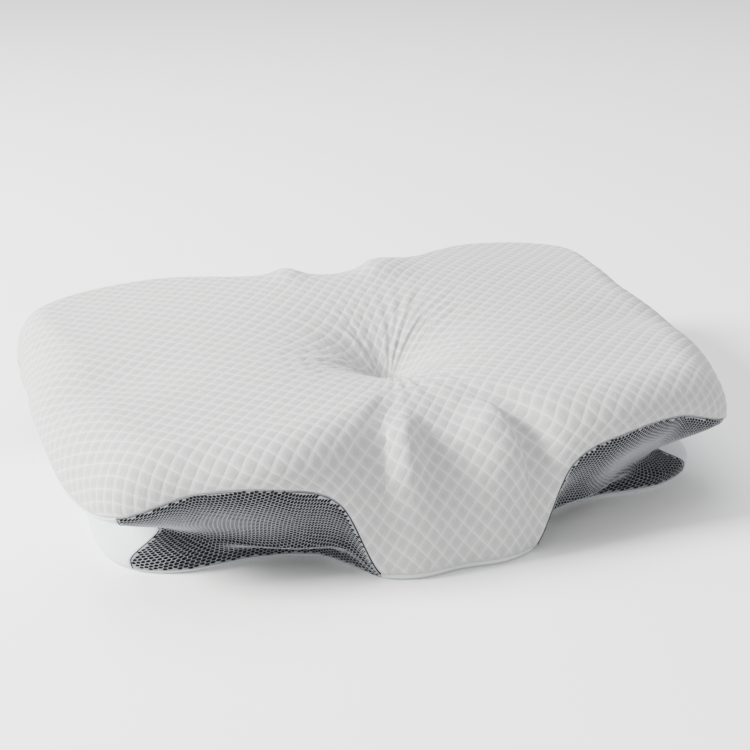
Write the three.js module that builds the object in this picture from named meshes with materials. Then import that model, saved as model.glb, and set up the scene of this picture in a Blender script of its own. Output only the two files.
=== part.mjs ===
// A contoured cervical pillow: one filled cushion with a quilted knit top, four spacer mesh
// gussets in the shoulder recesses, two plain knit end panels and a plain knit underside.
// Sizes are millimetres and degrees, +Z is up and the head well's axis is x = 0, y = 0.
// Angles go round that axis: 0 is the front (-Y), 90 the right end (+X), 180 the back (+Y).
import * as THREE from 'three';

const clothThickness = 2; // knit underside and spacer mesh
const clearance = 0.9; // left between neighbouring pieces
const bodyInset = 3.4; // from the outside of the sheets in to the filled body
const quiltPitch = 10; // side of one quilted diamond
const quiltPuff = 1.1; // how far a diamond's middle stands above its stitched edges
const seamAllowance = 6; // a plain band of cloth along the lip seam
const quiltMargin = 8; // from the lip seam to the last whole diamond
const footRound = 5; // how far the foot draws in as it turns under

// The pillow's outline and side wall, right half; the left half mirrors it.
// reach: lip seam from the well's axis, lipZ: its height, roll: width of the rounded shoulder.
// waistIn, waistZ: the groove of the side wall, footIn, footZ: its foot, both inside the reach.
// faceAngle: the way in which the shoulder rolls down.
const sectionColumns = [
  'angle', 'reach', 'lipZ', 'roll', 'waistIn', 'waistZ', 'footIn', 'footZ', 'faceAngle',
];
const sections = [
  [0, 163, 7, 98, 0.2, 4, 0.5, 3, 0], // front lobe
  [12, 168, 7, 98, 0.2, 4, 0.5, 3, 2],
  [21, 168, 9, 94, 0.4, 5, 1, 4, 6], // its foot corner
  [30, 175, 64, 68, 14, 22, 22, 10, 12], // front shoulder recess
  [41, 199, 82, 53, 24, 24, 50, 12, 18],
  [54, 229, 80, 46, 42, 22, 56, 10, 30],
  [63, 262, 63, 44, 54, 27, 40, 10, 55], // front wing tip
  [72, 268, 59, 46, 50, 25, 22, 10, 80],
  [90, 270, 72, 48, 44, 27, 26, 10, 90], // end
  [108, 285, 66, 46, 42, 28, 28, 10, 100],
  [118, 308, 64, 38, 43, 28, 32, 10, 125], // back wing tip
  [128, 330, 70, 33, 38, 28, 32, 10, 150],
  [142, 284, 72, 42, 24, 28, 24, 10, 165], // back recess
  [152, 231, 42, 58, 10, 20, 8, 9, 170],
  [162, 224, 9, 84, 0.4, 5, 1, 4, 174], // back lobe
  [170, 212, 7, 88, 0.2, 4, 0.5, 3, 178],
  [180, 205, 7, 90, 0.2, 4, 0.5, 3, 180],
].map((row) => Object.fromEntries(sectionColumns.map((name, i) => [name, row[i]])));

// Height of the crown: the wings, a bolster along the front and one along the back.
const crown = { wing: 98, front: 117, frontY: -111, back: 130, backY: 116, valley: 125, band: 49, middle: 156 };
const well = { depth: 50, radius: 34, tip: 6, dish: 6, dishRadius: 110 };
// Both ends sink a little between the bolsters.
const endDip = { depth: 5, y: 4, width: 20, near: 130, far: 230 };
// The quilted cloth is drawn in towards the well.
const gather = { pull: 45, near: 25, decay: 90 };

// Soft ridges that stand up in the cloth of both lobes: their crests as places on the flat
// cloth, their height, how wide they are on each side, and the hollow beside them.
const ridges = [
  { crest: [[-30, -112], [-34, -132], [-37, -152], [-38, -172], [-38, -198]], height: 9, left: 13, right: 8, hollow: 2.5 },
  { crest: [[26, -112], [36, -126], [43, -139], [47, -155], [48, -175], [49, -198]], height: 8, left: 15, right: 8, hollow: 2 },
  { crest: [[-46, 120], [-44, 150], [-44, 180], [-44, 215]], height: 6, left: 9, right: 11, hollow: 0 },
  { crest: [[30, 112], [36, 135], [42, 160], [44, 215]], height: 6, left: 9, right: 20, hollow: 0 },
];

// Stations round the outline and rows down the side wall, which all the pieces share.
const stationsPerSection = 3;
const wallRows = [0, 0.2, 0.4, 0.6, 0.8, 1, 1.33, 1.67, 2, 2.5, 3]; // 1 waist, 2 foot, 3 floor
const lastRow = wallRows.length - 1;
const meshSeamRow = lastRow - 1; // where the spacer mesh meets the underside

// Each gusset runs between two sections, counted from the front along one half.
const gussets = [
  { name: 'front', from: 2, to: 6 },
  { name: 'back', from: 10, to: 14 },
];
const endPanel = { from: 6, to: 10 };

function tableRow(index) {
  const last = sections.length - 1;
  if (index < 0) {
    return { ...sections[-index], angle: -sections[-index].angle, faceAngle: -sections[-index].faceAngle };
  }
  if (index > last) {
    const mirrored = sections[2 * last - index];
    return { ...mirrored, angle: 360 - mirrored.angle, faceAngle: 360 - mirrored.faceAngle };
  }
  return sections[index];
}

// A smooth curve through the table's rows, and which side of the middle the angle is on.
function sectionAt(angle) {
  const turned = THREE.MathUtils.euclideanModulo(angle + 180, 360) - 180;
  const half = Math.abs(turned);
  const found = sections.findIndex((row) => row.angle > half);
  const index = (found < 0 ? sections.length - 1 : found) - 1;
  const [before, start, end, after] = [-1, 0, 1, 2].map((step) => tableRow(index + step));
  const span = end.angle - start.angle;
  const u = (half - start.angle) / span;
  const section = { side: turned < 0 ? -1 : 1 };
  for (const name of sectionColumns.slice(1)) {
    const startSlope = (span * (end[name] - before[name])) / (end.angle - before.angle);
    const endSlope = (span * (after[name] - start[name])) / (after.angle - start.angle);
    const bend = 2 * (start[name] - end[name]) + startSlope + endSlope;
    const ease = end[name] - start[name] - startSlope - bend;
    section[name] = start[name] + u * (startSlope + u * (ease + u * bend));
  }
  for (const name of ['lipZ', 'waistZ', 'footZ']) { // the curve never dips below its rows
    section[name] = Math.max(section[name], Math.min(start[name], end[name]));
  }
  return section;
}

function direction(angle) {
  const turn = THREE.MathUtils.degToRad(angle);
  return new THREE.Vector2(Math.sin(turn), -Math.cos(turn));
}

function bell(distance, width) {
  return Math.exp(-0.5 * (distance / width) ** 2);
}

function crownHeight(x, y) {
  const front = (crown.front - crown.valley) * bell(y - crown.frontY, crown.band);
  const back = (crown.back - crown.valley) * bell(y - crown.backY, crown.band);
  const middle = crown.valley + front + back - crown.wing;
  const radius = Math.hypot(x, y);
  const hollow = well.depth * Math.exp(-(Math.hypot(radius, well.tip) - well.tip) / well.radius);
  const dish = well.dish * bell(radius, well.dishRadius);
  const outer = THREE.MathUtils.smoothstep(Math.abs(x), endDip.near, endDip.far);
  const dip = endDip.depth * bell(y - endDip.y, endDip.width) * outer;
  return crown.wing + middle * bell(x, crown.middle) - dish - hollow - dip;
}

// The shoulder is a quarter ellipse from the crown down to the lip seam.
function shoulderAt(angle) {
  const section = sectionAt(angle);
  const start = section.reach - section.roll;
  const edge = direction(angle).multiplyScalar(start);
  const drop = crownHeight(edge.x, edge.y) - section.lipZ;
  const meanRadius = Math.sqrt((section.roll ** 2 + drop ** 2) / 2);
  return { section, start, meanRadius, end: start + (meanRadius * Math.PI) / 2 };
}

// A place on the top cloth: cloth is the distance from the well's axis, measured over the shoulder.
function topPlace(angle, cloth) {
  const { section, start, meanRadius, end } = shoulderAt(angle);
  const turn = Math.max(0, Math.min((cloth - start) / meanRadius, Math.PI / 2));
  const radius = cloth > start ? start + section.roll * Math.sin(turn) : cloth;
  const outward = direction(angle);
  const [x, y] = [radius * outward.x, radius * outward.y];
  const z = section.lipZ + (crownHeight(x, y) - section.lipZ) * Math.cos(turn);
  const drawn = (gather.pull * radius * Math.exp(-radius / gather.decay)) / (radius + gather.near);
  const flat = outward.multiplyScalar(radius + drawn);
  flat.addScaledVector(direction(section.side * section.faceAngle), Math.max(0, cloth - radius));
  return { point: new THREE.Vector3(x, y, z), flat, room: end - cloth };
}

function placeFromCloth(cloth) {
  return topPlace(THREE.MathUtils.radToDeg(Math.atan2(cloth.x, -cloth.y)), cloth.length());
}

// Finds the place on the top whose spot on the flat cloth is the wanted one.
function placeOnFlat(wanted) {
  const cloth = wanted.clone();
  for (let pass = 0; pass < 60; pass += 1) {
    const miss = wanted.clone().sub(placeFromCloth(cloth).flat);
    cloth.addScaledVector(miss, 0.45);
  }
  return { ...placeFromCloth(cloth), cloth };
}

function outwardAt(cloth) {
  const step = 0.5;
  const here = placeFromCloth(cloth).point;
  const alongX = placeFromCloth(new THREE.Vector2(cloth.x + step, cloth.y)).point.sub(here);
  const alongY = placeFromCloth(new THREE.Vector2(cloth.x, cloth.y + step)).point.sub(here);
  return alongX.cross(alongY).normalize();
}

// How far the flat place is to the right of a ridge's crest, and its share of the way down it.
function besideCrest(crest, flat) {
  const stops = crest.map(([x, y]) => new THREE.Vector2(x, y));
  let best = { away: Infinity };
  for (let i = 0; i + 1 < stops.length; i += 1) {
    const run = stops[i + 1].clone().sub(stops[i]);
    const from = flat.clone().sub(stops[i]);
    const share = THREE.MathUtils.clamp(from.dot(run) / run.lengthSq(), 0, 1);
    const miss = from.clone().addScaledVector(run, -share);
    const away = miss.length();
    if (away < best.away) {
      best = { away, side: Math.sign(run.cross(from)) * Math.sign(-run.y), along: (i + share) / (stops.length - 1) };
    }
  }
  return best;
}

function ridgeLift(flat) {
  let lift = 0;
  for (const ridge of ridges) {
    const { away, side, along } = besideCrest(ridge.crest, flat);
    const fade = THREE.MathUtils.smoothstep(along, 0, 0.35) * (1 - THREE.MathUtils.smoothstep(along, 0.6, 1));
    const hump = ridge.height * bell(away, side > 0 ? ridge.right : ridge.left);
    const sink = side > 0 ? ridge.hollow * bell(away - 2.4 * ridge.right, ridge.right) * Math.min(1, away / ridge.right) : 0;
    lift += (hump - sink) * fade;
  }
  return lift;
}

function wallPoint(angle, row) {
  const section = sectionAt(angle);
  const upper = THREE.MathUtils.clamp(row, 0, 1);
  const lower = THREE.MathUtils.clamp(row - 1, 0, 1);
  const under = (THREE.MathUtils.clamp(row - 2, 0, 1) * Math.PI) / 2;
  const waist = section.waistIn * THREE.MathUtils.smoothstep(upper, 0, 1);
  const foot = (section.footIn - section.waistIn) * THREE.MathUtils.smoothstep(lower, 0, 1);
  const radius = section.reach - waist - foot - footRound * (1 - Math.cos(under));
  const drop = (section.lipZ - section.waistZ) * upper + (section.waistZ - section.footZ) * lower;
  const z = section.lipZ - drop - section.footZ * Math.sin(under);
  const outward = direction(angle);
  return new THREE.Vector3(radius * outward.x, radius * outward.y, z);
}

function wallOutward(angle, row) {
  const turn = 0.05;
  const step = 0.01;
  const around = wallPoint(angle + turn, row).sub(wallPoint(angle - turn, row));
  const down = wallPoint(angle, Math.min(row + step, 3)).sub(wallPoint(angle, Math.max(row - step, 0)));
  return down.cross(around).normalize();
}

function stationAngles() {
  const half = [];
  for (let i = 0; i < sections.length - 1; i += 1) {
    const span = sections[i + 1].angle - sections[i].angle;
    for (let k = 0; k < stationsPerSection; k += 1) half.push(sections[i].angle + (span * k) / stationsPerSection);
  }
  return [...half, 180, ...half.slice(1).reverse().map((angle) => 360 - angle)];
}

const stations = stationAngles();
const wallGrid = stations.map((angle) => wallRows.map((row) => ({
  point: wallPoint(angle, row),
  outward: wallOutward(angle, row),
})));

// A place on the side wall between four grid points, sunk below the outer face by depth.
function wallPlace(station, row, depth) {
  const left = Math.floor(station);
  const above = Math.min(Math.floor(row), lastRow - 1);
  const blend = new THREE.Vector3();
  for (const [i, shareI] of [[left, left + 1 - station], [left + 1, station - left]]) {
    for (const [k, shareK] of [[above, above + 1 - row], [above + 1, row - above]]) {
      const node = wallGrid[i % stations.length][k];
      const sunk = node.point.clone().addScaledVector(node.outward, -depth);
      blend.addScaledVector(sunk, shareI * shareK);
    }
  }
  return blend;
}

// Closed meshes are gathered as shared points and triangles, seen anticlockwise from outside.
class Shell {
  constructor() {
    this.points = [];
    this.faces = [];
  }

  point(place) {
    this.points.push(place.x, place.y, place.z);
    return this.points.length / 3 - 1;
  }

  triangle(a, b, c) {
    this.faces.push(a, b, c);
  }

  quad(a, b, c, d) {
    this.triangle(a, b, c);
    this.triangle(a, c, d);
  }

  mesh(name, material) {
    const geometry = new THREE.BufferGeometry();
    geometry.setAttribute('position', new THREE.Float32BufferAttribute(this.points, 3));
    geometry.setIndex(this.faces);
    geometry.computeVertexNormals();
    const mesh = new THREE.Mesh(geometry, material);
    mesh.name = name;
    return mesh;
  }
}

// The whole diamonds that fit inside the lip seam, on a lattice turned 45 degrees to the pillow.
function quiltLattice() {
  const half = quiltPitch / Math.SQRT2;
  const reach = Math.ceil(420 / half);
  const spots = new Map();
  const spot = (m, n) => {
    const key = `${m},${n}`;
    if (!spots.has(key)) spots.set(key, { key, ...placeOnFlat(new THREE.Vector2(m * half, n * half)) });
    return spots.get(key);
  };
  const diamonds = new Map();
  for (let m = -reach; m <= reach; m += 1) {
    for (let n = -reach; n <= reach; n += 1) {
      if ((m + n) % 2 === 0) continue;
      const corners = [spot(m + 1, n), spot(m, n + 1), spot(m - 1, n), spot(m, n - 1)];
      if (corners.every((corner) => corner.room > quiltMargin)) {
        diamonds.set(`${m},${n}`, { middle: spot(m, n), corners });
      }
    }
  }
  dropLooseDiamonds(diamonds);
  return diamonds;
}

function openEdges(diamonds) {
  const edges = new Map();
  for (const [key, { corners }] of diamonds) {
    corners.forEach((corner, i) => {
      const next = corners[(i + 1) % 4];
      const back = `${next.key}|${corner.key}`;
      if (edges.has(back)) edges.delete(back);
      else edges.set(`${corner.key}|${next.key}`, { from: corner, to: next, diamond: key });
    });
  }
  return [...edges.values()];
}

// A diamond that hangs on by a corner alone is left out, so that the field has one plain border.
function dropLooseDiamonds(diamonds) {
  for (let loose = true; loose;) {
    const edges = openEdges(diamonds);
    const starts = new Map();
    edges.forEach((edge) => starts.set(edge.from.key, [...(starts.get(edge.from.key) ?? []), edge]));
    const pinched = [...starts.values()].find((leaving) => leaving.length > 1);
    loose = pinched !== undefined;
    if (loose) {
      const openSides = (edge) => edges.filter((other) => other.diamond === edge.diamond).length;
      pinched.sort((a, b) => openSides(b) - openSides(a));
      diamonds.delete(pinched[0].diamond);
    }
  }
}

function borderOf(diamonds) {
  const next = new Map(openEdges(diamonds).map((edge) => [edge.from.key, edge.to]));
  const border = [];
  const first = [...next.values()][0];
  for (let spot = first; border.length === 0 || spot !== first; spot = next.get(spot.key)) border.push(spot);
  return border;
}

function raised(spot, extra) {
  return spot.point.clone().addScaledVector(outwardAt(spot.cloth), ridgeLift(spot.flat) + extra);
}

function addQuiltedTop(shell, rim) {
  const diamonds = quiltLattice();
  const indexes = new Map();
  const index = (spot) => {
    if (!indexes.has(spot.key)) indexes.set(spot.key, shell.point(raised(spot, 0)));
    return indexes.get(spot.key);
  };
  for (const { middle, corners } of diamonds.values()) {
    const across = corners[0].point.distanceTo(corners[2].point) + corners[1].point.distanceTo(corners[3].point);
    const shrunk = Math.min(1, across / (2 * Math.SQRT2 * quiltPitch));
    const peak = shell.point(raised(middle, quiltPuff * shrunk));
    corners.forEach((corner, i) => shell.triangle(index(corner), index(corners[(i + 1) % 4]), peak));
  }
  const band = stations.map((angle) => {
    const cloth = direction(angle).multiplyScalar(shoulderAt(angle).end - seamAllowance);
    return { ...placeFromCloth(cloth), cloth };
  });
  const bandRing = band.map((spot) => shell.point(raised(spot, 0)));
  addRing(shell, bandRing, rim);
  const border = borderOf(diamonds);
  const flats = [...band, ...border].map((spot) => spot.flat);
  const places = [...bandRing, ...border.map(index)];
  const between = THREE.ShapeUtils.triangulateShape(flats.slice(0, band.length), [flats.slice(band.length)]);
  for (const [a, b, c] of between) {
    const turn = flats[b].clone().sub(flats[a]).cross(flats[c].clone().sub(flats[a]));
    if (turn > 0) shell.triangle(places[a], places[b], places[c]);
    else shell.triangle(places[a], places[c], places[b]);
  }
}

function addRing(shell, upper, lower) {
  stations.forEach((angle, i) => {
    const next = (i + 1) % stations.length;
    shell.quad(upper[i], lower[i], lower[next], upper[next]);
  });
}

// The filled cushion: its top runs out over the sheets of the side wall as a narrow ledge.
function cushionMesh(material) {
  const shell = new Shell();
  const rim = stations.map((angle, i) => shell.point(wallGrid[i][0].point));
  addQuiltedTop(shell, rim);
  let upper = rim;
  wallRows.forEach((row, k) => {
    const lower = stations.map((angle, i) => shell.point(wallPlace(i, k, bodyInset)));
    addRing(shell, upper, lower);
    upper = lower;
  });
  const middle = shell.point(new THREE.Vector3(0, 0, bodyInset));
  stations.forEach((angle, i) => shell.triangle(upper[(i + 1) % stations.length], upper[i], middle));
  return shell.mesh('cushion', material);
}

// Where a sheet's top edge lies, just under the ledge.
function edgeRow(station) {
  const rowDrop = wallPlace(station, 0, 0).z - wallPlace(station, 1, 0).z;
  return Math.min(0.8, clearance / rowDrop);
}

// A sheet of the side wall: two faces over the cells that it covers, and its cut edges.
function addSheet(shell, covers, place) {
  const indexes = new Map();
  const index = (i, k, depth) => {
    const key = [i, k, depth].join();
    if (!indexes.has(key)) indexes.set(key, shell.point(place(i, k, depth)));
    return indexes.get(key);
  };
  const count = stations.length;
  const inner = clothThickness;
  const cell = (i, k) => k >= 0 && k < lastRow && covers((i + count) % count, k);
  const edge = (i, k, iNext, kNext) => {
    shell.quad(index(iNext, kNext, 0), index(i, k, 0), index(i, k, inner), index(iNext, kNext, inner));
  };
  for (let i = 0; i < count; i += 1) {
    const next = (i + 1) % count;
    for (let k = 0; k < lastRow; k += 1) {
      if (!cell(i, k)) continue;
      shell.quad(index(i, k, 0), index(i, k + 1, 0), index(next, k + 1, 0), index(next, k, 0));
      shell.quad(index(i, k, inner), index(next, k, inner), index(next, k + 1, inner), index(i, k + 1, inner));
      if (!cell(i, k - 1)) edge(next, k, i, k);
      if (!cell(i - 1, k)) edge(i, k, i, k + 1);
      if (!cell(i + 1, k)) edge(next, k + 1, next, k);
      if (k + 1 < lastRow && !cell(i, k + 1)) edge(i, k + 1, next, k + 1);
    }
  }
  return index;
}

// Stations that a side piece covers, first and last, on the right (side 1) or the left (side -1).
function spanOf(piece, side) {
  const [from, to] = [piece.from * stationsPerSection, piece.to * stationsPerSection];
  return side > 0 ? [from, to] : [stations.length - to, stations.length - from];
}

// A side piece from the lip seam down to the underside; endGap is left at its two ends.
function sidePieceMesh(name, piece, side, endGap, material) {
  const [first, last] = spanOf(piece, side);
  const stationGap = (i) => endGap / wallPlace(i, 0, 0).distanceTo(wallPlace(i + 1, 0, 0));
  const place = (i, k, depth) => {
    const along = i === first ? i + stationGap(i) : i - (i === last ? stationGap(i - 1) : 0);
    const rowDrop = wallPlace(i, meshSeamRow - 1, 0).distanceTo(wallPlace(i, meshSeamRow, 0));
    const down = k === 0 ? edgeRow(i) : k - (k === meshSeamRow ? clearance / rowDrop : 0);
    return wallPlace(along, down, depth);
  };
  const shell = new Shell();
  addSheet(shell, (i, k) => i >= first && i < last && k < meshSeamRow, place);
  return shell.mesh(`${name}_${side > 0 ? 'right' : 'left'}`, material);
}

function undersideMesh(material) {
  const spans = [...gussets, endPanel].flatMap((piece) => [spanOf(piece, 1), spanOf(piece, -1)]);
  const inSidePiece = (i, k) => k < meshSeamRow && spans.some(([first, last]) => i >= first && i < last);
  const shell = new Shell();
  const place = (i, k, depth) => wallPlace(i, k === 0 ? edgeRow(i) : k, depth);
  const index = addSheet(shell, (i, k) => !inSidePiece(i, k), place);
  const faceUp = shell.point(new THREE.Vector3(0, 0, clothThickness));
  const faceDown = shell.point(new THREE.Vector3(0, 0, 0));
  stations.forEach((angle, i) => {
    const next = (i + 1) % stations.length;
    shell.triangle(index(next, lastRow, 0), index(i, lastRow, 0), faceDown);
    shell.triangle(index(i, lastRow, clothThickness), index(next, lastRow, clothThickness), faceUp);
  });
  return shell.mesh('underside_panel', material);
}

const quiltedKnit = new THREE.MeshStandardMaterial({ color: 0xe2e3e2, roughness: 0.9, metalness: 0 });
const plainKnit = new THREE.MeshStandardMaterial({ color: 0xe8ecee, roughness: 0.85, metalness: 0 });
const spacerMesh = new THREE.MeshStandardMaterial({ color: 0x77797f, roughness: 0.8, metalness: 0 });

const pillow = new THREE.Group();
pillow.add(cushionMesh(quiltedKnit));
pillow.add(undersideMesh(plainKnit));
for (const side of [-1, 1]) {
  pillow.add(sidePieceMesh('end_panel', endPanel, side, 0, plainKnit));
  for (const gusset of gussets) {
    pillow.add(sidePieceMesh(`mesh_gusset_${gusset.name}`, gusset, side, clearance, spacerMesh));
  }
}

// The origin is under the middle of the pillow's box, on the surface that it rests on.
const box = new THREE.Box3().setFromObject(pillow);
const middle = box.getCenter(new THREE.Vector3());
pillow.position.set(-middle.x, -middle.y, -box.min.z);

export default pillow;
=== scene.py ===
import math

import bpy
import numpy as np
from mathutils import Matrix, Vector


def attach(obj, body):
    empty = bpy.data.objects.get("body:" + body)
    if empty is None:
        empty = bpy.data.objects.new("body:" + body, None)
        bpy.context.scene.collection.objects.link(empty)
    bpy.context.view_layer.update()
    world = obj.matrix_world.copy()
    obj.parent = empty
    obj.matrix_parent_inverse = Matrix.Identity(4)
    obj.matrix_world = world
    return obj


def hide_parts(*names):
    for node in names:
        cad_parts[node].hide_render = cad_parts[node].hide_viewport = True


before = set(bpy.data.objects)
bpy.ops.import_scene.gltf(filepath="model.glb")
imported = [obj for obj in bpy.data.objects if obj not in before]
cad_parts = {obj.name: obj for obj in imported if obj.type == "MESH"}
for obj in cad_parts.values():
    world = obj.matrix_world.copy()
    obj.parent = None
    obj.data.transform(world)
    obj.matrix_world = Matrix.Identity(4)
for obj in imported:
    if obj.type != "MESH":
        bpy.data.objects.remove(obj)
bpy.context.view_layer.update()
print("frame loaded")

# The form is worked out in millimetres round the head well's axis, as in the solids.
# Angles go round that axis: 0 is the front, 90 the right end, 180 the back.
wellPlace = (0.0, -29.566)  # where that axis stands in the row frame

# angle, reach, lipZ, roll, waistIn, waistZ, footIn, footZ, faceAngle of the right half
formTable = np.array([
    [0, 163, 5, 98, 1, 3, 1, 2.4, 0],  # front lobe
    [12, 168, 5, 98, 1, 3, 1, 2.4, 2],
    [21, 168, 6, 94, 2, 4, 3, 3, 6],
    [30, 175, 64, 68, 14, 22, 22, 10, 12],  # front shoulder recess
    [41, 199, 82, 53, 24, 24, 50, 12, 18],
    [54, 229, 80, 46, 42, 22, 56, 10, 30],
    [63, 262, 63, 44, 54, 27, 40, 10, 55],  # front wing tip
    [72, 268, 59, 46, 50, 25, 22, 10, 80],
    [90, 270, 72, 48, 44, 27, 26, 10, 90],  # end
    [108, 285, 66, 46, 42, 28, 28, 10, 100],
    [118, 308, 64, 38, 43, 28, 32, 10, 125],  # back wing tip
    [128, 330, 70, 33, 38, 28, 32, 10, 150],
    [142, 284, 72, 42, 24, 28, 24, 10, 165],  # back recess
    [152, 231, 42, 58, 10, 20, 8, 9, 170],
    [162, 224, 6, 84, 2, 4, 3, 3, 174],  # back lobe
    [170, 212, 5, 88, 1, 3, 1, 2.4, 178],
    [180, 205, 5, 90, 1, 3, 1, 2.4, 180],
], float)
formColumns = ["angle", "reach", "lipZ", "roll", "waistIn", "waistZ", "footIn", "footZ", "faceAngle"]
crown = {"wing": 98, "front": 117, "frontY": -111, "back": 130, "backY": 116,
         "valley": 125, "band": 49, "middle": 156}
well = {"depth": 50, "radius": 34, "tip": 6, "dish": 6, "dishRadius": 110}
endDip = {"depth": 5, "y": 4, "width": 20, "near": 130, "far": 230}  # between the bolsters, at both ends
gather = {"pull": 45, "near": 25, "decay": 90}
footRound = 5
# Rows down the side wall: 0 the lip seam, 1 the waist, 2 the foot, 3 the edge of the flat underside
seamRow = 2.5  # where the side pieces meet the underside
footRow = 3.0


def smoothStep(value, low, high):
    share = np.clip((value - low) / (high - low), 0, 1)
    return share * share * (3 - 2 * share)


def bell(distance, width):
    return np.exp(-0.5 * (distance / width) ** 2)


# Each column of the table as a smooth curve round the pillow, the left half mirrored.
def sectionAt(angle):
    signed = (np.asarray(angle, float) + 180) % 360 - 180
    half = np.abs(signed)
    ends = np.vstack([formTable[1], formTable, formTable[-2]])
    ends[0, [0, 8]] *= -1
    ends[-1, [0, 8]] = 360 - ends[-1, [0, 8]]
    index = np.clip(np.searchsorted(formTable[:, 0], half, side="right") - 1, 0, len(formTable) - 2)
    before, start, end, after = ends[index], ends[index + 1], ends[index + 2], ends[index + 3]
    span = (end[..., 0] - start[..., 0])[..., None]
    u = (half - start[..., 0])[..., None] / span
    startSlope = span * (end - before) / (end[..., :1] - before[..., :1])
    endSlope = span * (after - start) / (after[..., :1] - start[..., :1])
    bend = 2 * (start - end) + startSlope + endSlope
    ease = end - start - startSlope - bend
    values = start + u * (startSlope + u * (ease + u * bend))
    section = {name: values[..., k] for k, name in enumerate(formColumns)}
    for k in (2, 5, 7):  # the heights never dip below their rows
        section[formColumns[k]] = np.maximum(values[..., k], np.minimum(start[..., k], end[..., k]))
    section["side"] = np.where(signed < 0, -1.0, 1.0)
    return section


def outwardOf(angle):
    turn = np.radians(angle)
    return np.stack([np.sin(turn), -np.cos(turn)], -1)


def crownHeight(x, y):
    front = (crown["front"] - crown["valley"]) * bell(y - crown["frontY"], crown["band"])
    back = (crown["back"] - crown["valley"]) * bell(y - crown["backY"], crown["band"])
    middle = crown["valley"] + front + back - crown["wing"]
    radius = np.hypot(x, y)
    funnel = np.hypot(radius, well["tip"]) - well["tip"]
    hollow = well["depth"] * np.exp(-funnel / well["radius"])
    dish = well["dish"] * bell(radius, well["dishRadius"])
    outer = smoothStep(np.abs(x), endDip["near"], endDip["far"])
    dip = endDip["depth"] * bell(y - endDip["y"], endDip["width"]) * outer
    return crown["wing"] + middle * bell(x, crown["middle"]) - dish - hollow - dip


# A place on the top: cloth is its distance from the well's axis, measured over the shoulder.
def topPlace(angle, cloth):
    section = sectionAt(angle)
    start = section["reach"] - section["roll"]
    outward = outwardOf(angle)
    edge = outward * start[..., None]
    drop = crownHeight(edge[..., 0], edge[..., 1]) - section["lipZ"]
    meanRadius = np.sqrt((section["roll"] ** 2 + drop ** 2) / 2)
    end = start + meanRadius * math.pi / 2
    turn = np.clip((cloth - start) / meanRadius, 0, math.pi / 2)
    radius = np.where(cloth > start, start + section["roll"] * np.sin(turn), cloth)
    x, y = radius * outward[..., 0], radius * outward[..., 1]
    z = section["lipZ"] + (crownHeight(x, y) - section["lipZ"]) * np.cos(turn)
    drawn = gather["pull"] * radius * np.exp(-radius / gather["decay"]) / (radius + gather["near"])
    facing = outwardOf(section["side"] * section["faceAngle"])
    flat = outward * (radius + drawn)[..., None] + facing * np.maximum(0, cloth - radius)[..., None]
    return np.stack([x, y, z], -1), flat, end - cloth


def angleOf(cloth):
    return np.degrees(np.arctan2(cloth[..., 0], -cloth[..., 1]))


def placeFromCloth(cloth):
    return topPlace(angleOf(cloth), np.hypot(cloth[..., 0], cloth[..., 1]))


def clothFromFlat(wanted, passes=60):
    cloth = wanted.copy()
    for i in range(passes):
        cloth += 0.45 * (wanted - placeFromCloth(cloth)[1])
    return cloth


def outwardAt(cloth, step=0.5):
    length = np.maximum(np.hypot(cloth[:, 0], cloth[:, 1]), 1e-6)
    room = placeFromCloth(cloth)[2]
    cloth = cloth * np.minimum(1, (length + room - 3 * step) / length)[:, None]
    here = placeFromCloth(cloth)[0]
    alongX = placeFromCloth(cloth + [step, 0])[0] - here
    alongY = placeFromCloth(cloth + [0, step])[0] - here
    normal = np.cross(alongX, alongY)
    return normal / np.linalg.norm(normal, axis=-1, keepdims=True)


# The seam between mesh and end panel runs towards the end as it goes down.
seamTurn = {"degrees": 5.5, "fromRow": 0.05, "toRow": 0.7, "angle": 66, "width": 14}


def turnedAngle(angle, row):
    signed = (angle + 180) % 360 - 180
    share = smoothStep(row, seamTurn["fromRow"], seamTurn["toRow"])
    nearSeam = bell(np.abs(signed) - seamTurn["angle"], seamTurn["width"])
    return angle + seamTurn["degrees"] * np.sign(signed) * share * nearSeam


# A place on the side wall
def wallPoint(angle, row):
    angle = turnedAngle(angle, row)
    section = sectionAt(angle)
    upper, lower, under = (np.clip(row - k, 0, 1) for k in range(3))
    under = under * math.pi / 2
    waist = section["waistIn"] * smoothStep(upper, 0, 1)
    foot = (section["footIn"] - section["waistIn"]) * smoothStep(lower, 0, 1)
    radius = section["reach"] - waist - foot - footRound * (1 - np.cos(under))
    drop = (section["lipZ"] - section["waistZ"]) * upper + (section["waistZ"] - section["footZ"]) * lower
    z = section["lipZ"] - drop - section["footZ"] * np.sin(under)
    outward = outwardOf(angle)
    return np.stack([radius * outward[..., 0], radius * outward[..., 1], z], -1)


def wallOutward(angle, row):
    around = wallPoint(angle + 0.05, row) - wallPoint(angle - 0.05, row)
    down = wallPoint(angle, np.minimum(row + 0.01, 3)) - wallPoint(angle, np.maximum(row - 0.01, 0))
    normal = np.cross(down, around)
    return normal / np.maximum(np.linalg.norm(normal, axis=-1, keepdims=True), 1e-9)


def wallAt(angle, row, depth):
    angle, row = np.broadcast_arrays(np.asarray(angle, float), np.asarray(row, float))
    return wallPoint(angle, row) - depth * wallOutward(angle, row)


def inRowFrame(points):
    return (points + [wellPlace[0], wellPlace[1], 0]) / 1000


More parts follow.
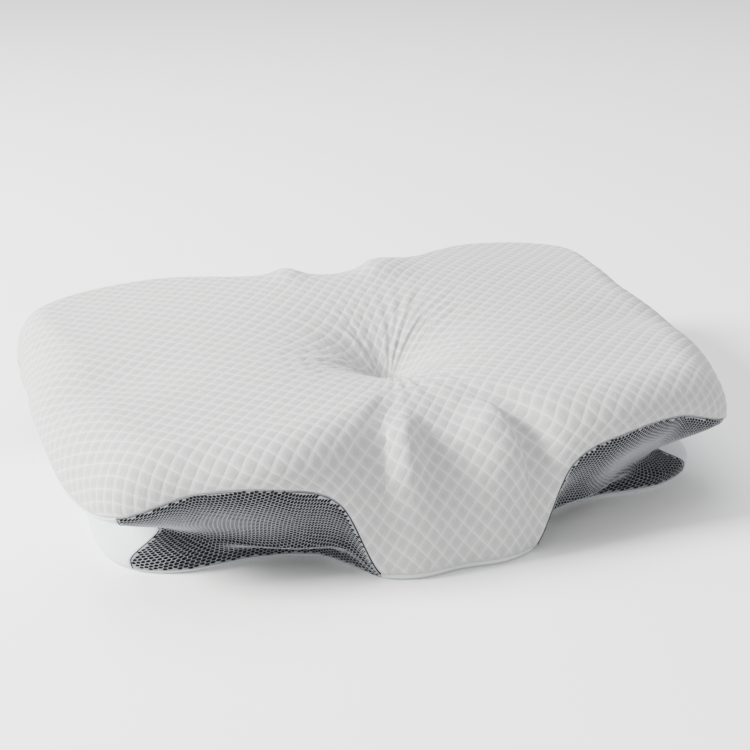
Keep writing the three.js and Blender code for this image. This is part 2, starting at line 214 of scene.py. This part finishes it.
def makePiece(name, points, faces, materials, faceMaterials=None):
    mesh = bpy.data.meshes.new(name)
    mesh.from_pydata(inRowFrame(np.asarray(points, float)).tolist(), [], faces)
    mesh.validate()
    piece = bpy.data.objects.new(name, mesh)
    bpy.context.scene.collection.objects.link(piece)
    for material in materials:
        mesh.materials.append(material)
    if faceMaterials is not None:
        mesh.polygons.foreach_set("material_index", np.asarray(faceMaterials, np.int32))
    mesh.polygons.foreach_set("use_smooth", np.full(len(mesh.polygons), True))
    mesh.update()
    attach(piece, "root")
    return piece


# Materials

def newMaterial(name, colour, roughness, sheen=0.0):
    material = bpy.data.materials.new(name)
    material.use_nodes = True
    nodes, links = material.node_tree.nodes, material.node_tree.links
    shader = nodes["Principled BSDF"]
    shader.inputs["Base Color"].default_value = (*colour, 1)
    shader.inputs["Roughness"].default_value = roughness
    shader.inputs["Sheen Weight"].default_value = sheen
    shader.inputs["Sheen Roughness"].default_value = 0.45
    shader.inputs["Specular IOR Level"].default_value = 0.25
    return material, nodes, links, shader


def textureMix(nodes, links, pattern, low, high, socket, start=0.0, end=1.0):
    ramp = nodes.new("ShaderNodeValToRGB")
    ramp.color_ramp.elements[0].position = start
    ramp.color_ramp.elements[1].position = end
    ramp.color_ramp.elements[0].color = (*low, 1)
    ramp.color_ramp.elements[1].color = (*high, 1)
    links.new(pattern, ramp.inputs["Fac"])
    links.new(ramp.outputs["Color"], socket)
    return ramp


def knitMaterial(name, look):
    material, nodes, links, shader = newMaterial(name, look["colour"], look["roughness"], look["sheen"])
    place = nodes.new("ShaderNodeTexCoord")
    stitches = nodes.new("ShaderNodeTexVoronoi")  # single knit stitches
    stitches.inputs["Scale"].default_value = look["stitchScale"]
    links.new(place.outputs["Object"], stitches.inputs["Vector"])
    cloudy = nodes.new("ShaderNodeTexNoise")  # uneven yarn
    cloudy.inputs["Scale"].default_value = look["cloudScale"]
    cloudy.inputs["Detail"].default_value = 4
    links.new(place.outputs["Object"], cloudy.inputs["Vector"])
    both = nodes.new("ShaderNodeMath")
    both.operation = "MULTIPLY_ADD"
    both.inputs[1].default_value = look["stitchShare"]
    links.new(stitches.outputs["Distance"], both.inputs[0])
    links.new(cloudy.outputs["Fac"], both.inputs[2])
    dark = tuple(c * look["shade"] for c in look["colour"])
    cloth = textureMix(nodes, links, both.outputs["Value"], look["colour"], dark,
                       shader.inputs["Base Color"], 0.3, 1.1)
    if "paintedLineHighlight" in look:  # painted highlight: the stitched lines catch more light than the cloth between them, so they are painted lighter
        stitched = nodes.new("ShaderNodeAttribute")
        stitched.attribute_name = "stitched"
        lined = nodes.new("ShaderNodeMix")
        lined.data_type = "RGBA"
        linedIn = [socket for socket in lined.inputs if socket.type == "RGBA"]
        linedOut = [socket for socket in lined.outputs if socket.type == "RGBA"]
        linedIn[1].default_value = (*look["paintedLineHighlight"], 1)
        links.new(stitched.outputs["Fac"], lined.inputs["Factor"])
        links.new(cloth.outputs["Color"], linedIn[0])
        links.new(linedOut[0], shader.inputs["Base Color"])
    bump = nodes.new("ShaderNodeBump")
    bump.inputs["Strength"].default_value = look["bump"]
    bump.inputs["Distance"].default_value = look["bumpHeight"]
    bump.invert = True
    links.new(stitches.outputs["Distance"], bump.inputs["Height"])
    links.new(bump.outputs["Normal"], shader.inputs["Normal"])
    return material


# The quilted knit's line colour is a painted highlight along the stitched grooves.
quiltedKnitLook = {"colour": (0.455, 0.462, 0.453), "roughness": 0.92, "sheen": 0.2, "stitchScale": 1100,
                   "cloudScale": 420, "stitchShare": 0.5, "shade": 0.8, "bump": 0.6, "bumpHeight": 0.0004,
                   "paintedLineHighlight": (0.66, 0.67, 0.665)}
plainKnitLook = {"colour": (0.66, 0.695, 0.71), "roughness": 0.9, "sheen": 0.25, "stitchScale": 1500,
                 "cloudScale": 60, "stitchShare": 0.4, "shade": 0.92, "bump": 0.3, "bumpHeight": 0.0003}
yarnLook = {"colour": (0.31, 0.32, 0.345), "roughness": 0.75, "sheen": 0.2, "stitchScale": 2200,
            "cloudScale": 300, "stitchShare": 0.6, "shade": 0.7, "bump": 0.5, "bumpHeight": 0.0003}
# The mesh's near-black inner face is painted shade: it stands for the shade deep in the mesh holes, on
# their walls and pits, the back face and the cut edges.
paintedHoleShadeLook = {"colour": (0.012, 0.012, 0.014), "roughness": 0.9, "sheen": 0.0, "stitchScale": 2000,
                 "cloudScale": 300, "stitchShare": 0.5, "shade": 0.5, "bump": 0.3, "bumpHeight": 0.0003}
quiltedKnit = knitMaterial("quilted knit", quiltedKnitLook)
plainKnit = knitMaterial("plain knit", plainKnitLook)
spacerYarn = knitMaterial("spacer mesh yarn", yarnLook)
paintedHoleShade = knitMaterial("spacer mesh painted hole shade", paintedHoleShadeLook)
print("materials made")

# The quilted cushion

quilt = {
    "pitch": 8.8,  # side of one diamond
    "steps": (0.0, 0.075, 0.36, 0.64, 0.925),  # where a diamond's side is divided
    "puff": 0.42,  # height of a diamond above its stitched groove
    "grooveWidth": 0.45,
    "pillow": 0.06,  # extra height in a diamond's middle
    "lipFade": 3.0,
    "reach": 430,  # how far the quilting is laid out before it is cut
    "drawnIn": 0.55,  # share of its height that it loses at the well
    "drawnRadius": 26,
}

# Soft ridges in the cloth of both lobes, their crests as places on the flat cloth
ridges = [
    {"crest": [(-30, -112), (-34, -132), (-37, -152), (-38, -172), (-38, -198)],
     "height": 12, "left": 17, "right": 8, "hollow": 3},
    {"crest": [(26, -112), (36, -126), (43, -139), (47, -155), (48, -175), (49, -198)],
     "height": 11, "left": 18, "right": 8, "hollow": 3},
    {"crest": [(-46, 120), (-44, 150), (-44, 180), (-44, 215)],
     "height": 6, "left": 9, "right": 11, "hollow": 0},
    {"crest": [(30, 112), (36, 135), (42, 160), (44, 215)],
     "height": 6, "left": 9, "right": 20, "hollow": 0},
]


def besideCrest(crest, flat):
    best = np.full(len(flat), np.inf)
    side, along = np.ones(len(flat)), np.zeros(len(flat))
    for i in range(len(crest) - 1):
        run = np.subtract(crest[i + 1], crest[i]).astype(float)
        away = flat - crest[i]
        share = np.clip(away @ run / (run @ run), 0, 1)
        miss = np.linalg.norm(away - share[:, None] * run, axis=1)
        cross = run[0] * away[:, 1] - run[1] * away[:, 0]
        nearer = miss < best
        best = np.where(nearer, miss, best)
        side = np.where(nearer, np.sign(cross) * np.sign(-run[1]), side)
        along = np.where(nearer, (i + share) / (len(crest) - 1), along)
    return best, side, along


def ridgeLift(flat):
    lift = np.zeros(len(flat))
    for ridge in ridges:
        away, side, along = besideCrest(ridge["crest"], flat)
        fade = smoothStep(along, 0, 0.35) * (1 - smoothStep(along, 0.6, 1))
        right = ridge["right"]
        hump = ridge["height"] * bell(away, np.where(side > 0, right, ridge["left"]))
        sink = ridge["hollow"] * bell(away - 2.4 * right, right) * np.minimum(1, away / right)
        lift += (hump - np.where(side > 0, sink, 0)) * fade
    return lift


# Folds that run into the well where the cloth is drawn in
folds = {
    "count": 17, "height": 1.15, "peak": 34, "spread": 15,
    "rays": 41, "rayHeight": 0.55, "rayPeak": 60, "raySpread": 26,
    "from": 14,  # distance from the well's axis
    "strongest": -135, "turnSpread": 60, "least": 0.08,  # strongest towards the back left
}


def foldLift(place):
    radius = np.hypot(place[:, 0], place[:, 1])
    turn = np.arctan2(place[:, 0], -place[:, 1])
    uneven = 1 + 0.45 * np.sin(3 * turn + 0.6) + 0.35 * np.sin(5 * turn + 2.1)
    wander = 0.9 * np.sin(2 * turn + 1.3) + 0.5 * np.sin(7 * turn + radius / 30)
    coarse = np.sin(folds["count"] * turn + 3 * wander) * bell(radius - folds["peak"], folds["spread"])
    fine = np.sin(folds["rays"] * turn + 4 * wander) * bell(radius - folds["rayPeak"], folds["raySpread"])
    near = smoothStep(radius, folds["from"] * 0.5, folds["from"])
    aside = (np.degrees(turn) - folds["strongest"] + 180) % 360 - 180
    strength = folds["least"] + (1 - folds["least"]) * bell(aside, folds["turnSpread"])
    return near * uneven * (folds["height"] * strength * coarse + folds["rayHeight"] * fine)


def grooveHeight(share):
    near = np.minimum(share, 1 - share) * quilt["pitch"]
    return 1 - np.exp(-near / quilt["grooveWidth"])


def quiltedTop():
    steps = np.array(quilt["steps"])
    count = len(steps)
    reach = int(math.ceil(quilt["reach"] / quilt["pitch"]))
    cells = np.arange(-reach, reach + 1)
    corner = np.stack(np.meshgrid(cells, cells, indexing="ij"), -1).reshape(-1, 2).astype(float)

    def flatOf(lattice):
        a, b = lattice[:, 0], lattice[:, 1]
        return quilt["pitch"] * np.stack([a - b, a + b], -1) / math.sqrt(2)

    room = placeFromCloth(clothFromFlat(flatOf(corner), 40))[2].reshape(len(cells), len(cells))
    near = room > -1.5 * quilt["pitch"]
    keep = near[:-1, :-1] | near[1:, :-1] | near[:-1, 1:] | near[1:, 1:]
    size = (len(cells) - 1) * count + 1
    needed = np.zeros((size, size), bool)
    for i, j in np.argwhere(keep):
        needed[i * count:i * count + count + 1, j * count:j * count + count + 1] = True
    fine = np.argwhere(needed)
    share = steps[fine % count]
    lattice = fine // count - reach + share
    flat = flatOf(lattice)
    cloth = clothFromFlat(flat)
    room = placeFromCloth(cloth)[2]
    outside = room < 0.3
    length = np.maximum(np.hypot(cloth[:, 0], cloth[:, 1]), 1e-6)
    cloth[outside] *= (1 + room / length)[outside, None]
    point, flat, room = placeFromCloth(cloth)
    puff = grooveHeight(share[:, 0]) * grooveHeight(share[:, 1])
    stitched = 1 - puff
    puff = quilt["puff"] * puff + quilt["pillow"] * np.prod(np.sin(np.pi * share), axis=1)
    drawnIn = 1 - quilt["drawnIn"] * bell(np.hypot(point[:, 0], point[:, 1]), quilt["drawnRadius"])
    lift = ridgeLift(flat) * smoothStep(room, 0, 20) + foldLift(point)
    lift += puff * smoothStep(room, 0, quilt["lipFade"]) * drawnIn
    point = point + outwardAt(cloth) * lift[:, None]
    index = np.full((size, size), -1)
    index[needed] = np.arange(len(fine))
    a, b, c, d = index[:-1, :-1], index[1:, :-1], index[1:, 1:], index[:-1, 1:]
    whole = (a >= 0) & (b >= 0) & (c >= 0) & (d >= 0)
    quads = np.stack([a[whole], b[whole], c[whole], d[whole]], -1)
    quads = quads[~outside[quads].all(axis=1)]
    return point, quads, cloth, stitched * smoothStep(room, 0, quilt["lipFade"])


def boundaryLoop(faces):
    edges = {}
    for face in faces:
        for k in range(len(face)):
            start, end = face[k], face[(k + 1) % len(face)]
            if (end, start) in edges:
                del edges[(end, start)]
            else:
                edges[(start, end)] = True
    following = {start: end for start, end in edges}
    first = next(iter(following))
    loop = [first]
    while following[loop[-1]] != first:
        loop.append(following[loop[-1]])
    return loop


def compact(points, faces):
    used = np.unique(np.concatenate([np.asarray(face) for face in faces]))
    index = np.full(len(points), -1)
    index[used] = np.arange(len(used))
    return points[used], [tuple(int(index[v]) for v in face) for face in faces], used


# Under the lip the cushion goes on behind the sheets of its side wall, and is closed below.
cushionBody = {"inset": 3.3, "rows": (0.02, 0.5, 0.68, 0.82, 0.94, 1.06, 1.18, 1.32, 1.5, 2.0, 2.6)}


def closedCushion(point, quads, cloth):
    faces = [tuple(int(v) for v in quad) for quad in quads]
    loop = boundaryLoop(faces)
    angles = angleOf(cloth[loop])
    points = [point]
    total = len(point)
    upper = loop
    for row in cushionBody["rows"]:
        points.append(wallAt(angles, row, cushionBody["inset"]))
        lower = list(range(total, total + len(loop)))
        total += len(loop)
        for k in range(len(loop)):
            following = (k + 1) % len(loop)
            faces.append((upper[following], upper[k], lower[k], lower[following]))
        upper = lower
    points.append(np.array([[0, 0, cushionBody["inset"]]]))
    for k in range(len(loop)):
        faces.append((upper[(k + 1) % len(loop)], upper[k], total))
    return compact(np.vstack(points), faces)


point, quads, cloth, stitched = quiltedTop()
points, faces, used = closedCushion(point, quads, cloth)
cushion = makePiece("quilted_cushion", points, faces, [quiltedKnit])
stitched = np.concatenate([stitched, np.zeros(used[-1] + 1)])[used]
line = cushion.data.attributes.new("stitched", "FLOAT", "POINT")
line.data.foreach_set("value", stitched.astype(np.float32))
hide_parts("cushion")
print("quilted cushion made", len(faces), "faces")

# The spacer mesh gussets

spacerMesh = {
    "along": 3.1,  # hole to hole along a row
    "rowPitch": 2.2,  # row to row
    "tilt": 18,  # degrees that the rows rise towards the right end
    "open": 0.84,  # size of a hole in its cell
    "yarnRise": 0.3,
    "rim": 0.1,  # depth of a hole's rim
    "pit": 0.7,  # depth of its bottom, painted near-black as shade
    "thickness": 1.9,
    "spread": 140,  # how far past the panel the cells are laid out before they are cut
    "middleHeight": 40,
    "margin": 3,
    "angleSteps": 200,  # cell corners closer than these steps are one corner
    "rowSteps": 20000,
}
# Angles that the side pieces cover on the right half
frontSpan = (21, 63)
backSpan = (118, 162)
endSpan = (63, 118)
panelGrid = {"stations": 240, "rows": 60, "measuredRow": 15}  # lengths along a panel are taken on that row


class PanelMap:
    # Measures a side panel as flat cloth: distance along it, and height above its lower seam.
    def __init__(self, fromAngle, toAngle):
        self.angles = np.linspace(fromAngle, toAngle, panelGrid["stations"])
        self.rows = np.linspace(0, seamRow, panelGrid["rows"])
        grid = wallPoint(self.angles[:, None] + 0 * self.rows, 0 * self.angles[:, None] + self.rows)
        middle = grid[:, panelGrid["measuredRow"]]
        steps = np.linalg.norm(np.diff(middle[:, :2], axis=0), axis=1)
        self.along = np.concatenate([[0], np.cumsum(steps)])
        falls = np.linalg.norm(np.diff(grid, axis=1), axis=2)
        down = np.concatenate([np.zeros((len(self.angles), 1)), np.cumsum(falls, axis=1)], axis=1)
        self.height = down[:, -1:] - down
        self.area = float((falls[:-1].sum(1) * np.linalg.norm(np.diff(middle, axis=0), axis=1)).sum())

    def place(self, along, height):
        inside = (along > 0) & (along < self.along[-1])
        along = np.clip(along, 0, self.along[-1])
        angle = np.interp(along, self.along, self.angles)
        spot = np.interp(along, self.along, np.arange(len(self.along)))
        left = np.clip(spot.astype(int), 0, len(self.along) - 2)
        blend = (spot - left)[:, None]
        heights = self.height[left] * (1 - blend) + self.height[left + 1] * blend
        inside &= (height > 0) & (height < heights[:, 0])
        height = np.clip(height, 0, heights[:, 0])
        below = np.clip((heights >= height[:, None]).sum(1) - 1, 0, len(self.rows) - 2)
        index = np.arange(len(height))
        high, low = heights[index, below], heights[index, below + 1]
        share = (high - height) / np.maximum(high - low, 1e-9)
        row = self.rows[below] + share * (self.rows[below + 1] - self.rows[below])
        return angle, row, inside


def gussetPiece(name, fromAngle, toAngle, node):
    panel = PanelMap(fromAngle, toAngle)
    turn = math.radians(spacerMesh["tilt"])
    acrossTo = np.array([math.cos(turn), math.sin(turn)])
    upTo = np.array([-math.sin(turn), math.cos(turn)])
    width, rowPitch = spacerMesh["along"], spacerMesh["rowPitch"]
    reach = int((panel.along[-1] + spacerMesh["spread"]) / min(width, rowPitch))
    columns, rows = np.meshgrid(np.arange(-reach, reach), np.arange(-reach, reach), indexing="ij")
    centre = (columns + 0.5 * (rows % 2))[..., None] * width * acrossTo + rows[..., None] * rowPitch * upTo
    centre = centre.reshape(-1, 2) + [panel.along[-1] / 2, spacerMesh["middleHeight"]]
    high = float(panel.height[:, 0].max())
    margin = spacerMesh["margin"]
    near = (centre[:, 0] > -margin) & (centre[:, 0] < panel.along[-1] + margin)
    centre = centre[near & (centre[:, 1] > -margin) & (centre[:, 1] < high + margin)]
    sixCorners = [[0.5, 1 / 3], [0, 2 / 3], [-0.5, 1 / 3], [-0.5, -1 / 3], [0, -2 / 3], [0.5, -1 / 3]]
    shape = np.array(sixCorners) * [width, rowPitch]
    ring = shape[:, :1] * acrossTo + shape[:, 1:] * upTo
    corners = centre[:, None] + ring
    angle, row, inside = (v.reshape(-1, 6) for v in panel.place(*corners.reshape(-1, 2).T))
    kept = inside.any(axis=1)
    centre = centre[kept]
    angle, row, inside = angle[kept], row[kept], inside[kept]
    cellCount = len(centre)
    # shared corners of the cells
    places = [angle.ravel() * spacerMesh["angleSteps"], row.ravel() * spacerMesh["rowSteps"]]
    keys = np.round(np.stack(places, -1)).astype(np.int64)
    _, first, shared = np.unique(keys, axis=0, return_index=True, return_inverse=True)
    shared = shared.reshape(-1, 6)
    edgeAngle, edgeRow = angle.ravel()[first], row.ravel()[first]
    yarnTop = wallAt(edgeAngle, edgeRow, -spacerMesh["yarnRise"])
    backFace = wallAt(edgeAngle, edgeRow, spacerMesh["thickness"])
    total = len(yarnTop)
    points = [yarnTop, backFace]
    # kinds: 0 the grey yarn, 1 painted shade in near-black on the holes' lower walls and pits, the back
    # face and the cut edges
    faces, kinds = [], []
    whole = inside.all(axis=1)
    holeCorners = (centre[:, None] + ring * spacerMesh["open"])[whole]
    holeAngle, holeRow, _ = panel.place(*holeCorners.reshape(-1, 2).T)
    rim = wallAt(holeAngle, holeRow, spacerMesh["rim"])
    pit = wallAt(holeAngle, holeRow, spacerMesh["pit"])
    points += [rim, pit]
    rimStart, pitStart = 2 * total, 2 * total + len(rim)
    hole = 0
    outline = {}
    for cell in range(cellCount):
        loop = shared[cell]
        if whole[cell]:
            rimLoop = range(rimStart + 6 * hole, rimStart + 6 * hole + 6)
            pitLoop = range(pitStart + 6 * hole, pitStart + 6 * hole + 6)
            for k in range(6):
                following = (k + 1) % 6
                faces.append((loop[k], loop[following], rimLoop[following], rimLoop[k]))
                faces.append((rimLoop[k], rimLoop[following], pitLoop[following], pitLoop[k]))
                kinds += [0, 1]
            faces.append(tuple(pitLoop))
            kinds.append(1)
            hole += 1
        distinct = [v for k, v in enumerate(loop) if v != loop[k - 1]]
        if len(set(distinct)) < 3:
            continue
        for k, start in enumerate(distinct):
            end = distinct[(k + 1) % len(distinct)]
            if (end, start) in outline:
                del outline[(end, start)]
            else:
                outline[(start, end)] = True
        if not whole[cell]:
            faces.append(tuple(distinct))
            kinds.append(0)
        faces.append(tuple(v + total for v in reversed(distinct)))
        kinds.append(1)
    for start, end in outline:
        faces.append((end, start, start + total, end + total))
        kinds.append(1)
    faces = [tuple(int(v) for v in face) for face in faces]
    piece = makePiece(name, np.vstack(points), faces, [spacerYarn, paintedHoleShade], kinds)
    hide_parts(node)
    width, height = panel.along[-1] / 1000, high / 1000
    print(name, "made with", hole, "holes")


gussetPiece("front_right_mesh", frontSpan[0], frontSpan[1], "mesh_gusset_front_right")
gussetPiece("front_left_mesh", -frontSpan[1], -frontSpan[0], "mesh_gusset_front_left")
gussetPiece("back_right_mesh", backSpan[0], backSpan[1], "mesh_gusset_back_right")
gussetPiece("back_left_mesh", -backSpan[1], -backSpan[0], "mesh_gusset_back_left")


# The plain knit cloth: a panel at each end and the underside

plainCloth = {"thickness": 1.9, "stations": 480, "endStations": 90}
wallRows = [0, 0.1, 0.25, 0.4, 0.55, 0.7, 0.85, 1, 1.2, 1.4, 1.6, 1.8, 2, 2.2, 2.35, seamRow]
underRows = [seamRow, 2.62, 2.75, 2.88, footRow]


# A closed sheet over a grid of angles and rows; covered says which cells it has.
def sheetOver(angles, rows, covered, ring):
    count, rowCount = len(angles), len(rows)
    outer = wallAt(np.asarray(angles)[:, None], np.asarray(rows)[None, :], 0)
    inner = wallAt(np.asarray(angles)[:, None], np.asarray(rows)[None, :], plainCloth["thickness"])
    layer = count * rowCount
    steps = count if ring else count - 1
    faces = []

    def has(i, k):
        if not ring and not 0 <= i < steps:
            return False
        return 0 <= k < rowCount - 1 and covered(i % count, k)

    def at(i, k, depth):
        return (i % count) * rowCount + k + depth * layer

    for i in range(steps):
        for k in range(rowCount - 1):
            if not has(i, k):
                continue
            faces.append((at(i, k, 0), at(i, k + 1, 0), at(i + 1, k + 1, 0), at(i + 1, k, 0)))
            faces.append((at(i + 1, k, 1), at(i + 1, k + 1, 1), at(i, k + 1, 1), at(i, k, 1)))
            if not has(i, k - 1):
                faces.append((at(i, k, 0), at(i + 1, k, 0), at(i + 1, k, 1), at(i, k, 1)))
            if not has(i - 1, k):
                faces.append((at(i, k + 1, 0), at(i, k, 0), at(i, k, 1), at(i, k + 1, 1)))
            if not has(i + 1, k):
                faces.append((at(i + 1, k, 0), at(i + 1, k + 1, 0), at(i + 1, k + 1, 1), at(i + 1, k, 1)))
            if not has(i, k + 1) and not (ring and k + 1 == rowCount - 1):
                faces.append((at(i + 1, k + 1, 0), at(i, k + 1, 0), at(i, k + 1, 1), at(i + 1, k + 1, 1)))
    return np.vstack([outer.reshape(-1, 3), inner.reshape(-1, 3)]), faces, at


def undersidePiece():
    angles = np.arange(plainCloth["stations"]) * 360 / plainCloth["stations"]
    rows = wallRows + underRows[1:]
    count, last = len(angles), len(rows) - 1

    def covered(i, k):
        middle = (angles[i] + 180 / count) % 360
        away = min(middle, 360 - middle)
        return rows[k] >= seamRow or away < frontSpan[0] or away > backSpan[1]

    points, faces, at = sheetOver(angles, rows, covered, True)
    points = np.vstack([points, [[0, 0, 0]], [[0, 0, plainCloth["thickness"]]]])
    middle = len(points) - 2
    for i in range(count):
        faces.append((at(i, last, 0), middle, at(i + 1, last, 0)))
        faces.append((at(i + 1, last, 1), middle + 1, at(i, last, 1)))
    return compact(points, faces)


def endPanelPiece(name, fromAngle, toAngle, node):
    angles = np.linspace(fromAngle, toAngle, plainCloth["endStations"])
    points, faces, _ = sheetOver(angles, wallRows, lambda i, k: True, False)
    points, faces, _ = compact(points, faces)
    piece = makePiece(name, points, faces, [plainKnit])
    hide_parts(node)
    panel = PanelMap(min(fromAngle, toAngle), max(fromAngle, toAngle))
    print(name, "made")


points, faces, _ = undersidePiece()
underside = makePiece("underside_cloth", points, faces, [plainKnit])
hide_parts("underside_panel")
endPanelPiece("end_right_cloth", endSpan[0], endSpan[1], "end_panel_right")
endPanelPiece("end_left_cloth", -endSpan[1], -endSpan[0], "end_panel_left")
print("plain knit cloth made")

# Seams: a pale edge of turned cloth along the ends, a dark tube round the mesh as painted shadow of the
# gap between the pieces

seam = {"paleRadius": 1.0, "darkRadius": 0.7, "sides": 8, "lipRow": 0.02, "endRow": 0.05}
# The dark seam tubes are painted shadow: near-black colour along the gaps where the mesh meets the quilted
# top and the end panels.
paintedSeamShadowLook = dict(paintedHoleShadeLook, colour=(0.03, 0.03, 0.035))
paintedSeamShadow = knitMaterial("painted seam shadow", paintedSeamShadowLook)


# A thin tube along a line of places, closed at both ends
def seamTube(name, line, radius, material):
    line = np.asarray(line, float)
    ahead = np.gradient(line, axis=0)
    ahead /= np.linalg.norm(ahead, axis=1, keepdims=True)
    side = np.cross(ahead, [0, 0, 1])
    side /= np.linalg.norm(side, axis=1, keepdims=True)
    rise = np.cross(side, ahead)
    turns = np.arange(seam["sides"]) * 2 * math.pi / seam["sides"]
    ring = np.cos(turns)[None, :, None] * side[:, None] + np.sin(turns)[None, :, None] * rise[:, None]
    points = (line[:, None] + radius * ring).reshape(-1, 3)
    faces = []
    sides = seam["sides"]
    for i in range(len(line) - 1):
        start, end = i * sides, (i + 1) * sides
        for k in range(sides):
            following = (k + 1) % sides
            faces.append((start + k, start + following, end + following, end + k))
    faces.append(tuple(reversed(range(sides))))
    faces.append(tuple((len(line) - 1) * sides + k for k in range(sides)))
    piece = makePiece(name, points, faces, [material])


# A line just under the lip seam, over the angles that a side piece covers
def lipLine(side, span, depth):
    angles = np.linspace(side * span[0], side * span[1], 160)
    return wallAt(angles, seam["lipRow"], depth)


for sideName, side in (("right", 1), ("left", -1)):
    seamTube(f"end_seam_{sideName}", lipLine(side, endSpan, 0.2), seam["paleRadius"],
             plainKnit)
    for place, span in (("front", frontSpan), ("back", backSpan)):
        seamTube(f"{place}_{sideName}_mesh_edge", lipLine(side, span, 0.3), seam["darkRadius"],
                 paintedSeamShadow)
        endAngle = span[1] if place == "front" else span[0]
        rows = np.linspace(seam["endRow"], seamRow, 60)
        seamTube(f"{place}_{sideName}_mesh_end", wallAt(side * endAngle, rows, 0.1), seam["darkRadius"],
                 paintedSeamShadow)
print("seams made")

# Camera, lights and floor

view = {"azimuth": -19.1, "elevation": 24.0, "distance": 1.026, "target": (-0.0102, -0.0296, 0.085),
        "focalPixels": 1300, "pictureWidth": 750, "sensor": 36}
azimuth, elevation = math.radians(view["azimuth"]), math.radians(view["elevation"])
towards = Vector((math.sin(azimuth) * math.cos(elevation), -math.cos(azimuth) * math.cos(elevation),
                  math.sin(elevation)))
cameraData = bpy.data.cameras.new("camera")
cameraData.sensor_width = view["sensor"]
cameraData.lens = view["focalPixels"] / view["pictureWidth"] * view["sensor"]
camera = bpy.data.objects.new("camera", cameraData)
camera.location = Vector(view["target"]) + towards * view["distance"]
camera.rotation_mode = "QUATERNION"
camera.rotation_quaternion = (-towards).to_track_quat("-Z", "Y")
bpy.context.scene.collection.objects.link(camera)
bpy.context.scene.camera = camera

floorMesh = bpy.data.meshes.new("floor")
far = 6
floorMesh.from_pydata([(-far, -far, 0), (far, -far, 0), (far, far, 0), (-far, far, 0)], [], [(0, 1, 2, 3)])
floor = bpy.data.objects.new("floor", floorMesh)
bpy.context.scene.collection.objects.link(floor)
floorMesh.materials.append(newMaterial("pale floor", (0.97, 0.97, 0.97), 0.9)[0])

lights = [  # name, place, size, power, colour
    ("key light", (-2.4, 0.35, 1.5), 0.8, 310, (1.0, 0.99, 0.97)),
    ("sky light", (0.2, 0.9, 2.6), 2.4, 75, (0.97, 0.985, 1.0)),
]
lightTarget = (0, 0, 0.05)
worldStrength = 0.8
for name, place, size, power, colour in lights:
    lightData = bpy.data.lights.new(name, "AREA")
    lightData.size = size
    lightData.energy = power
    lightData.color = colour
    light = bpy.data.objects.new(name, lightData)
    light.location = place
    light.rotation_mode = "QUATERNION"
    light.rotation_quaternion = (Vector(lightTarget) - Vector(place)).to_track_quat("-Z", "Y")
    bpy.context.scene.collection.objects.link(light)
world = bpy.data.worlds.new("studio")
world.use_nodes = True
world.node_tree.nodes["Background"].inputs["Color"].default_value = (1, 1, 1, 1)
world.node_tree.nodes["Background"].inputs["Strength"].default_value = worldStrength
bpy.context.scene.world = world
print("studio set")
